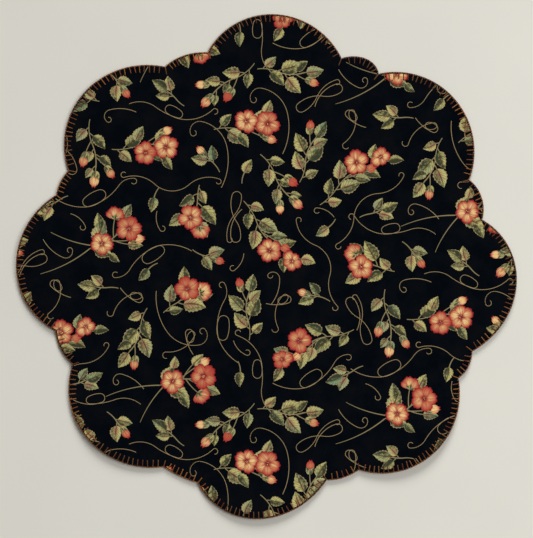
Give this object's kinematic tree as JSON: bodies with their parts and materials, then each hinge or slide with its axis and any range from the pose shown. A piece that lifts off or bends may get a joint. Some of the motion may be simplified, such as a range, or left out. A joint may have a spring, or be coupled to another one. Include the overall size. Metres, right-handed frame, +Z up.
{
  "type": "penny rug",
  "caption": "Flat scalloped penny rug or table mat with a floral cotton print on black and a blanket-stitched rim.",
  "frame": {"origin": "middle of the underside, where the mat rests on the table", "axes": "+Z up out of the printed side, +Y to the top scallop, +X to the right"},
  "size_m": [0.4008, 0.404, 0.0067],
  "materials": {
    "printed_cotton": "matte black cotton with a coral, peach and old-gold floral print, over felted wool",
    "embroidery_thread": "soft sheen, variegated from red-brown to old gold"
  },
  "bodies": {
    "root": {"printed_mat": "printed_cotton", "blanket_stitch": "embroidery_thread"}
  },
  "joints": []
}
